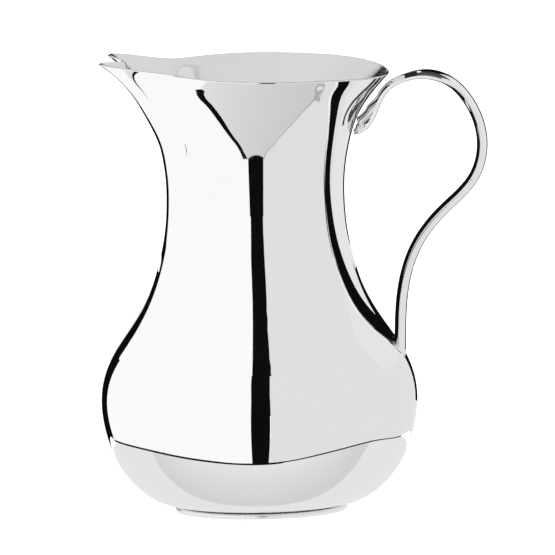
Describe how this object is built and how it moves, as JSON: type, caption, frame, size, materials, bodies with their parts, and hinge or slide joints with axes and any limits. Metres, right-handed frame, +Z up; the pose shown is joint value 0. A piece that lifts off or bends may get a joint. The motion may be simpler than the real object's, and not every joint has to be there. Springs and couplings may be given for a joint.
{
  "type": "water pitcher",
  "caption": "Polished silver water pitcher: squat round bowl on a low foot ring, waisted neck, flared mouth pinched to a broad pouring lip, high scroll handle",
  "frame": {"origin": "centre of the foot ring's flat underside", "axes": "+Z up, +X towards the handle, -X towards the pouring lip, +Y to the right when looking from the handle to the lip"},
  "size_m": [0.1939, 0.1564, 0.225],
  "materials": {
    "body_silver": "mirror-polished silver sheet",
    "bowl_silver": "mirror-polished silver sheet",
    "foot_silver": "polished turned silver ring",
    "handle_silver": "polished silver half shells soldered along the side seams"
  },
  "bodies": {
    "root": {"upper_body": "body_silver", "lower_bowl": "bowl_silver", "foot_ring": "foot_silver", "handle_outer_half": "handle_silver", "handle_inner_half": "handle_silver"}
  },
  "joints": []
}
